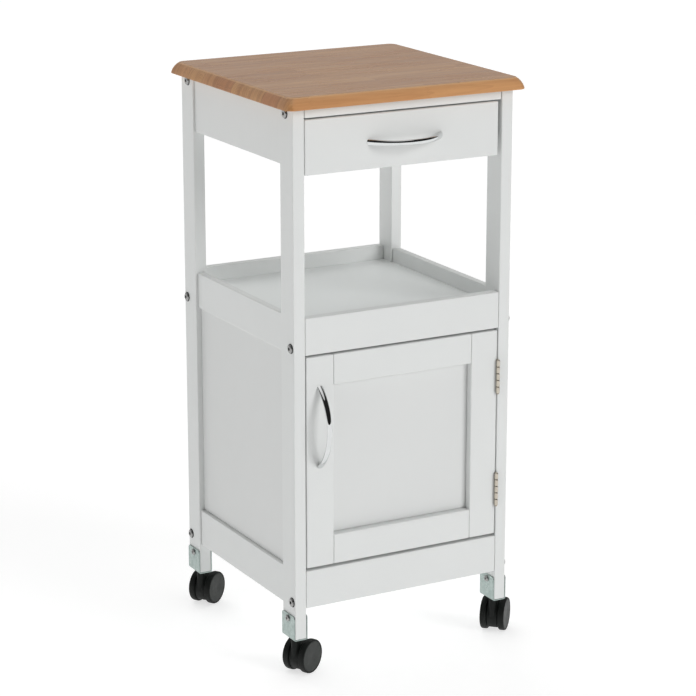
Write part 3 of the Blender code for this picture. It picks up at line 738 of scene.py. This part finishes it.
def leaf_bm(leaf, centre):
    """A hinge leaf at its pin's middle: a plate with round corners and its own knuckles."""
    sign = 1 if leaf == "frame" else -1
    faces = sorted((sign * LEAF_OFFSET, sign * (LEAF_OFFSET + LEAF_THICK)))
    plate = box_bm((faces[0], LEAF_START, -HINGE_LENGTH / 2), (faces[1], HINGE_REACH, HINGE_LENGTH / 2))
    corners = [e for e in plate.edges if all(abs(v.co.y - HINGE_REACH) < 1e-6 for v in e.verts)
               and abs(e.verts[0].co.x - e.verts[1].co.x) > 1e-6]
    bmesh.ops.bevel(plate, geom=corners, offset=LEAF_CORNER, segments=5, profile=0.5, affect="EDGES")
    step = HINGE_LENGTH / KNUCKLES
    spans = [(i * step - HINGE_LENGTH / 2, (i + 1) * step - HINGE_LENGTH / 2) for i in range(KNUCKLES)]
    own = spans[0::2] if leaf == "frame" else spans[1::2]
    others = spans[1::2] if leaf == "frame" else spans[0::2]
    reliefs = [rings_bm([(a - GAP, RELIEF_RADIUS), (b + GAP, RELIEF_RADIUS)], 32) for a, b in others]
    plate = solved(plate, reliefs, "DIFFERENCE")
    arris = 0.0008
    knuckles = []
    for a, b in own:
        rings = [(a + GAP / 2, BARREL_RADIUS - arris), (a + GAP / 2 + arris, BARREL_RADIUS)]
        rings += [(b - GAP / 2 - arris, BARREL_RADIUS), (b - GAP / 2, BARREL_RADIUS - arris)]
        knuckles.append(rings_bm(rings, 32))
    return moved(solved(plate, knuckles, "UNION"), Matrix.Translation(centre))


def add_hinges():
    """Two butt hinges: both leaves with their screws, and the pin with a rounded head at each end."""
    for level in ("upper", "lower"):
        pin_node = f"hinge_{level}_pin"
        centre = sum(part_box(pin_node), Vector()) / 2
        for leaf, body in {"frame": "frame", "door": "door"}.items():
            node = f"hinge_{level}_{leaf}_leaf"
            add_piece(f"{node}_plate", leaf_bm(leaf, centre), "nickel", body, [node], sharp_deg=40)
            sign = -1 if leaf == "frame" else 1
            face_x = centre.x - sign * LEAF_OFFSET
            screws = []
            for height, inward in LEAF_SCREWS:
                spot = (face_x - sign * LEAF_SCREW_PROUD, centre.y + HINGE_REACH - inward, centre.z + height)
                screws.append(moved(flat_screw_bm(radius=0.0026, depth=0.0005), towards((sign, 0, 0), spot)))
            add_piece(f"{node}_screws", merged(screws), "nickel", body)
        half = HINGE_LENGTH / 2
        head = [(half + GAP, 0.0010), (half + GAP, PIN_RADIUS)]
        head += [(half + 0.0009, PIN_RADIUS), (half + 0.0012, 0.0014)]
        foot = [(-height, radius) for height, radius in head[::-1]]
        pin = moved(rings_bm(foot + head, 32), Matrix.Translation(centre))
        add_piece(f"{pin_node}_fine", pin, "nickel", "frame", [pin_node], sharp_deg=40)


def add_catch():
    """A magnetic catch in its housing, and the steel plate on the door that it holds."""
    node = "magnetic_catch"
    low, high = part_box(node)
    housing = box_bm(low, high)
    round_edges(housing, CATCH_RADIUS)
    add_piece(f"{node}_housing", housing, "catch", "frame", [node], 60, weighted=True)
    middle = (low + high) / 2
    poles = []
    for offset in (-POLE_OFFSET, POLE_OFFSET):
        pole_low = (middle.x + offset - POLE_HALF_WIDTH, low.y - 0.0006, low.z + POLE_FROM_END)
        pole = box_bm(pole_low, (middle.x + offset + POLE_HALF_WIDTH, low.y + 0.003, high.z - POLE_FROM_END))
        poles.append(softened(pole, 0.0002))
    add_piece(f"{node}_poles", merged(poles), "steel", "frame")
    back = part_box("door_stile_latch")[1].y
    left, right = STRIKE_ACROSS
    plate_low = (middle.x + left, back + OFF_FACE, low.z + STRIKE_FROM_END)
    plate = box_bm(plate_low, (middle.x + right, back + STRIKE_BACK, high.z - STRIKE_FROM_END))
    add_piece("strike_plate", softened(plate, 0.0003), "steel", "door")
    spot = (middle.x + 0.0008, back + STRIKE_BACK, middle.z)
    screw = moved(flat_screw_bm(radius=0.0028, depth=0.0005), towards((0, 1, 0), spot))
    add_piece("strike_plate_screw", screw, "steel", "door")


# ---------------------------------------------------------------- bolts and screws

def add_leg_bolts():
    """Socket-head bolts on the legs' outer faces, in line with the rails and the top battens, each on a black ring
    of painted shade.
    """
    for end, side in CORNERS:
        low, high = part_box(f"leg_{end}_{side}")
        outward = SIDES[side]
        face_x = high.x if outward > 0 else low.x
        outer_y = high.y if end == "rear" else low.y
        inward = -ENDS[end]
        bolts = []
        shadow_rings = []
        for height, from_edge in LEG_BOLTS:
            spot = Vector((face_x + outward * OFF_BOLTED_FACE, outer_y + inward * from_edge, height))
            as_tightened = Matrix.Rotation(0.3 + 40 * height, 4, "Z")
            seat = spot + Vector((outward * SHADOW_RING_THICK, 0, 0))
            bolts.append(moved(moved(socket_bolt_bm(), as_tightened), towards((outward, 0, 0), seat)))
            # A thin black ring under the head: painted shade for the shadow round it.
            rings = [(0, SHADOW_RING_RADIUS), (0.0004, SHADOW_RING_RADIUS), (SHADOW_RING_THICK, SHADOW_RING_RADIUS - 0.0002)]
            shadow_rings.append(moved(rings_bm(rings, 48), towards((outward, 0, 0), spot)))
        add_piece(f"leg_bolts_{end}_{side}", merged(bolts), "bolt", "frame")
        add_piece(f"leg_bolt_shadow_rings_{end}_{side}", merged(shadow_rings), "caster", "frame")


def add_batten_screws():
    """Countersunk screws up through the front and rear battens into the worktop."""
    for end in ENDS:
        low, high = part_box(f"upper_rail_{end}")
        middle = (low + high) / 2
        screws = []
        for offset in (-BATTEN_SCREW_OFFSET, BATTEN_SCREW_OFFSET):
            spot = (middle.x + offset, middle.y, low.z)
            screws.append(moved(flat_screw_bm(), towards((0, 0, -1), spot)))
        add_piece(f"batten_screws_{end}", merged(screws), "steel", "frame")


def add_drawer_screws():
    """Countersunk screws through the drawer's sides into its back."""
    back_low, back_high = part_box("drawer_back")
    middle_y = (back_low.y + back_high.y) / 2
    for side, sign in SIDES.items():
        low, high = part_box(f"drawer_side_{side}")
        face_x = high.x if sign > 0 else low.x
        screws = []
        for height in (low.z + 0.012, high.z - 0.010):
            screws.append(moved(flat_screw_bm(), towards((sign, 0, 0), (face_x, middle_y, height))))
        add_piece(f"drawer_side_screws_{side}", merged(screws), "steel", "drawer")


# ---------------------------------------------------------------- casters

def bracket_bm(low, high):
    """A strap bent round a leg's foot, its flange corners rounded, between the CAD bracket's corners."""
    half = (high.x - low.x) / 2
    inner = half - SHEET
    centre_x = (low.x + high.x) / 2
    base = low.z
    bend = BEND_RADIUS
    reach = bend + SHEET
    outline = []
    steps = 6
    for step in range(steps + 1):
        angle = math.pi / 2 * step / steps
        outline.append((half - reach + reach * math.sin(angle), base + reach - reach * math.cos(angle)))
    outline += [(half, high.z), (inner, high.z)]
    for step in range(steps + 1):
        angle = math.pi / 2 * (1 - step / steps)
        outline.append((inner - bend + bend * math.sin(angle), base + SHEET + bend - bend * math.cos(angle)))
    outline += [(-x, z) for x, z in outline[::-1]]
    bm = bmesh.new()
    front = [bm.verts.new((centre_x + x, low.y, z)) for x, z in outline]
    rear = [bm.verts.new((centre_x + x, high.y, z)) for x, z in outline]
    skin(bm, [front, rear])
    bm.faces.new(front)
    bm.faces.new(rear[::-1])
    corners = [e for e in bm.edges if all(abs(v.co.z - high.z) < 1e-7 for v in e.verts)
               and abs(e.verts[0].co.y - e.verts[1].co.y) < 1e-9]
    bmesh.ops.bevel(bm, geom=corners, offset=FLANGE_CORNER, segments=6, profile=0.5, affect="EDGES")
    return bm


def hood_bm():
    """The hood between the wheels, with its boss and the axle's ends, and the stem that stands on it."""
    first, last = (math.radians(a) for a in HOOD_ARC_DEG)
    steps = 44
    outline = []
    for step in range(steps + 1):
        angle = first + (last - first) * step / steps
        outline.append((TRAIL + HOOD_RADIUS * math.cos(angle), WHEEL_RADIUS + HOOD_RADIUS * math.sin(angle)))
    bm = bmesh.new()
    left = [bm.verts.new((x, -HOOD_HALF_WIDTH, z)) for x, z in outline]
    right = [bm.verts.new((x, HOOD_HALF_WIDTH, z)) for x, z in outline]
    skin(bm, [left, right])
    bm.faces.new(left[::-1])
    bm.faces.new(right)
    bmesh.ops.recalc_face_normals(bm, faces=bm.faces)
    rims = [e for e in bm.edges if len(e.link_faces) == 2 and e.calc_face_angle() > 0.8]
    bmesh.ops.bevel(bm, geom=rims, offset=HOOD_RIM, segments=3, profile=0.5, affect="EDGES")
    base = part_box("caster_front_left_bracket")[0].z - 2 * GAP
    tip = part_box("caster_front_left_hood")[1].z
    arris = 0.0006
    rings = [(WHEEL_RADIUS, BOSS_RADIUS), (base - arris, BOSS_RADIUS), (base, BOSS_RADIUS - arris)]
    boss = rings_bm(rings, 40)
    axle = rings_bm([(-AXLE_HALF, AXLE_RADIUS), (AXLE_HALF, AXLE_RADIUS)], 32)
    moved(axle, Matrix.Translation((TRAIL, 0, WHEEL_RADIUS)) @ Matrix.Rotation(math.pi / 2, 4, "X"))
    hood = solved(bm, [boss, axle], "UNION")
    point = 0.0008
    rings = [(base + OFF_BOLTED_FACE, STEM_RADIUS), (tip - point, STEM_RADIUS), (tip, STEM_RADIUS - point)]
    return hood, rings_bm(rings, 32)


def tyre_bm(segments=96):
    """A wheel's rim and tread about Z, its inner face at z = 0, hollowed outside for the cover disc."""
    r, w = WHEEL_RADIUS, WHEEL_WIDTH
    rings = [(0.0004, 0.0029), (0.0, 0.0033), (0.0, r - 0.0022), (0.0004, r - 0.0010), (0.0013, r - 0.0002)]
    rings += [(0.0024, r), (w - 0.0026, r), (w - 0.0014, r - 0.0002), (w - 0.0005, r - 0.0007)]
    rings += [(w - 0.00005, r - 0.0013), (w, r - 0.0016), (w - 0.0002, r - 0.0020), (w - 0.0014, r - 0.0022)]
    rings += [(w - 0.0016, r - 0.0028), (w - 0.0022, 0.0030), (0.0068, 0.0028), (0.0060, 0.0028)]
    tyre = rings_bm(rings, segments, closed_ends=False)
    loop_ends(tyre, segments)
    return tyre


def disc_bm(segments=96):
    """The cover disc in the hollow of a wheel's outer face."""
    r, w = WHEEL_RADIUS, WHEEL_WIDTH
    rings = [(w - 0.0019, r - 0.0030), (w - 0.0006, r - 0.0026), (w - 0.0002, r - 0.0031)]
    rings += [(w - 0.0001, 0.0036), (w - 0.0003, 0.0026)]
    return rings_bm(rings, segments)


def add_wheels(corner, place):
    for wheel, sign in SIDES.items():
        outward = Matrix.Rotation(-sign * math.pi / 2, 4, "X")
        inner_face = Matrix.Translation((TRAIL, sign * (HOOD_HALF_WIDTH + GAP), WHEEL_RADIUS))
        stand = place @ inner_face @ outward
        body = f"wheel_{corner}_{wheel}"
        node = f"caster_{corner}_wheel_{wheel}"
        tyre = moved(tyre_bm(), stand)
        add_piece(f"{node}_tyre", tyre, "caster", body, [node], sharp_deg=30)
        add_piece(f"{node}_disc", moved(disc_bm(), stand), "disc", body)


def add_bracket(corner):
    node = f"caster_{corner}_bracket"
    low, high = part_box(node)
    add_piece(f"{node}_strap", bracket_bm(low, high), "zinc", "frame", [node], sharp_deg=30)
    middle_y = ((low + high) / 2).y
    screws = []
    for x, outward in ((low.x, -1), (high.x, 1)):
        spot = (x, middle_y, BRACKET_SCREW_HEIGHT)
        screws.append(moved(cross_screw_bm(), towards((outward, 0, 0), spot)))
    add_piece(f"caster_{corner}_screws", merged(screws), "bolt", "frame")


def add_casters():
    """The casters stand where the swivels put them, and trail the way that their wheels' axles say."""
    for end, side in CORNERS:
        corner = f"{end}_{side}"
        body = f"caster_{corner}"
        stem_place = Vector(JOINTS[f"{body}_swivel"]["pos_m"])
        axis = Vector(JOINTS[f"wheel_{corner}_left_spin"]["axis"])
        heading = math.atan2(-axis.x, axis.y)
        place = Matrix.Translation((stem_place.x, stem_place.y, 0)) @ Matrix.Rotation(heading, 4, "Z")
        hood, stem = hood_bm()
        node = f"{body}_hood"
        add_piece(f"{node}_shell", moved(hood, place), "caster", body, [node])
        add_piece(f"{body}_stem", moved(stem, place), "steel", body)
        add_wheels(corner, place)
        add_bracket(corner)


# ---------------------------------------------------------------- studio

def from_angles(azimuth_deg, elevation_deg):
    """The unit vector at an azimuth and an elevation."""
    azimuth = math.radians(azimuth_deg)
    elevation = math.radians(elevation_deg)
    flat = math.cos(elevation)
    return Vector((math.sin(azimuth) * flat, -math.cos(azimuth) * flat, math.sin(elevation)))


def add_floor():
    """A floor of white paper that glows a little, so that it stays pale under the object."""
    bpy.ops.mesh.primitive_plane_add(size=FLOOR_SIZE, location=(0, 0, 0))
    floor = bpy.context.object
    floor.name = "studio_floor"
    g = Graph("studio_floor_paper")
    tone = g.mix(g.noise(g.place(), 1.5, 2.0), (0.50, 0.50, 0.50), (0.52, 0.52, 0.52))
    g.finish(Base_Color=tone, Roughness=0.85, Emission_Color=(1.0, 1.0, 1.0), Emission_Strength=FLOOR_GLOW)
    floor.data.materials.append(g.material)


def add_suns():
    """Soft suns. Only the one overhead shows in bright metal, so polished chrome keeps its black bands."""
    for name, (azimuth_deg, elevation_deg, strength, angle_deg, mirrored) in SUNS.items():
        light = bpy.data.lights.new(name, "SUN")
        light.energy = strength
        light.angle = math.radians(angle_deg)
        sun = bpy.data.objects.new(name, light)
        bpy.context.scene.collection.objects.link(sun)
        source = from_angles(azimuth_deg, elevation_deg)
        sun.rotation_euler = source.to_track_quat("Z", "Y").to_euler()
        sun.visible_glossy = mirrored


def add_world():
    """A studio bright behind and above, and dark at eye level in front, so that bright metal has contrast."""
    world = bpy.data.worlds.new("studio")
    bpy.context.scene.world = world
    world.use_nodes = True
    tree = world.node_tree
    background = tree.nodes["Background"]
    coords = tree.nodes.new("ShaderNodeTexCoord")
    split = tree.nodes.new("ShaderNodeSeparateXYZ")
    tree.links.new(coords.outputs["Generated"], split.inputs[0])
    front = tree.nodes.new("ShaderNodeValToRGB")
    tree.links.new(split.outputs["Z"], front.inputs[0])
    elements = front.color_ramp.elements
    while len(elements) < len(WORLD_FRONT_GREYS):
        elements.new(0.5)
    for element, (position, grey) in zip(elements, WORLD_FRONT_GREYS):
        element.position = position
        element.color = (grey, grey, grey, 1)
    turn = tree.nodes.new("ShaderNodeMapRange")
    turn.interpolation_type = "SMOOTHSTEP"
    tree.links.new(split.outputs["Y"], turn.inputs[0])
    turn.inputs[1].default_value, turn.inputs[2].default_value = WORLD_BACK_FROM_Y
    mix = tree.nodes.new("ShaderNodeMix")
    mix.data_type = "RGBA"
    tree.links.new(turn.outputs[0], mix.inputs[0])
    tree.links.new(front.outputs[0], mix.inputs[6])
    mix.inputs[7].default_value = WORLD_BACK
    tree.links.new(mix.outputs[2], background.inputs[0])
    background.inputs[1].default_value = WORLD_STRENGTH


def add_camera():
    """The photograph's view, aimed from the middle of the leg frame."""
    middle = (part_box("leg_front_left")[0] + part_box("leg_rear_right")[1]) / 2
    target = Vector((middle.x, middle.y, 0)) + TARGET_FROM_FRAME
    back = from_angles(CAMERA_AZIMUTH_DEG, CAMERA_ELEVATION_DEG)
    data = bpy.data.cameras.new("camera")
    data.lens = CAMERA_LENS_MM
    data.sensor_width = 36.0
    data.clip_end = 200.0
    camera = bpy.data.objects.new("camera", data)
    bpy.context.scene.collection.objects.link(camera)
    camera.location = target + back * CAMERA_DISTANCE
    camera.rotation_euler = back.to_track_quat("Z", "Y").to_euler()
    bpy.context.scene.camera = camera


add_camera()
add_floor()
add_world()
add_suns()
add_worktop()
add_boards()
add_hinge_stile()
add_handles()
add_hinges()
add_catch()
add_leg_bolts()
add_batten_screws()
add_drawer_screws()
add_casters()
bpy.context.scene.view_settings.view_transform = "Standard"
